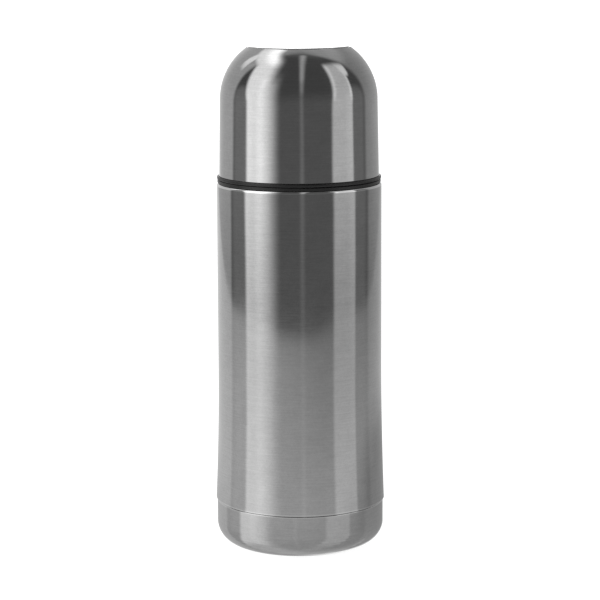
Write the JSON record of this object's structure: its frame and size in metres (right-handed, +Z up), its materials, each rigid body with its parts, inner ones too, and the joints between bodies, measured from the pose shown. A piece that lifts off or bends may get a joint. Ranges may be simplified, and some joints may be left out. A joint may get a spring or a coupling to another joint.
{
  "type": "vacuum flask",
  "caption": "Double-walled brushed steel vacuum flask with a domed screw-on drinking cup, a black collar and a push-button screw stopper inside.",
  "frame": {"origin": "centre of the foot ring, on the surface the flask stands on", "axes": "+Z up the flask's own axis towards the cup; +X towards the release key of the stopper; +Y completes a right-handed set"},
  "size_m": [0.0706, 0.0706, 0.2075],
  "materials": {
    "brushed_shell": "fine circumferential brushing",
    "vessel_steel": "plain rolled, electropolished",
    "solder": "dull cast bead",
    "getter": "sintered",
    "foil": "bright foil",
    "foam": "closed-cell foam",
    "black_plastic": "satin moulded",
    "grey_plastic": "satin moulded",
    "natural_plastic": "uncoloured moulded",
    "silicone": "translucent grey silicone",
    "spring_steel": "bright wire"
  },
  "bodies": {
    "flask": {"outer_shell": "brushed_shell", "inner_vessel": "vessel_steel", "vacuum_base": "vessel_steel", "vacuum_seal": "solder", "getter_clip": "vessel_steel", "getter_pellet": "getter", "radiation_foil": "foil", "base_cup": "brushed_shell", "base_pad": "foam", "neck_collar": "black_plastic", "collar_seal": "silicone"},
    "stopper_ring": {"stopper_gasket": "silicone"},
    "stopper": {"stopper_body": "black_plastic", "stopper_insulation": "foam", "stopper_deck": "black_plastic", "stopper_cover": "black_plastic", "button_spring": "spring_steel", "key_spring": "spring_steel"},
    "button": {"pour_button": "grey_plastic", "valve_stem": "natural_plastic", "valve_disc": "silicone", "valve_retainer": "spring_steel"},
    "key": {"release_key": "grey_plastic"},
    "cup_ring": {"cup_seal": "silicone"},
    "cup": {"cup_shell": "brushed_shell", "cup_liner": "black_plastic"}
  },
  "joints": [
    {"name": "stopper_rise", "type": "slide", "parent": "flask", "child": "stopper_ring", "axis": [0, 0, 1], "range_m": [0, 0.036]},
    {"name": "stopper_turn", "type": "hinge", "parent": "stopper_ring", "child": "stopper", "pos_m": [0, 0, 0.1508], "axis": [0, 0, 1], "range_deg": [0, 1080]},
    {"name": "button_press", "type": "slide", "parent": "stopper", "child": "button", "axis": [0, 0, -1], "range_m": [0, 0.004], "stiffness_N_per_m": 400, "springref_m": -0.004, "deforming": ["button_spring"]},
    {"name": "key_press", "type": "slide", "parent": "stopper", "child": "key", "axis": [-1, 0, 0], "range_m": [0, 0.0012], "stiffness_N_per_m": 300, "springref_m": -0.002, "deforming": ["key_spring"]},
    {"name": "cup_rise", "type": "slide", "parent": "stopper", "child": "cup_ring", "axis": [0, 0, 1], "range_m": [0, 0.048]},
    {"name": "cup_turn", "type": "hinge", "parent": "cup_ring", "child": "cup", "pos_m": [0, 0, 0.1689], "axis": [0, 0, 1], "range_deg": [0, 1440]}
  ],
  "couplings": [
    {"joint": "stopper_turn", "follows": "stopper_rise", "rad_per_m": 523.6},
    {"joint": "cup_turn", "follows": "cup_rise", "rad_per_m": 523.6}
  ]
}
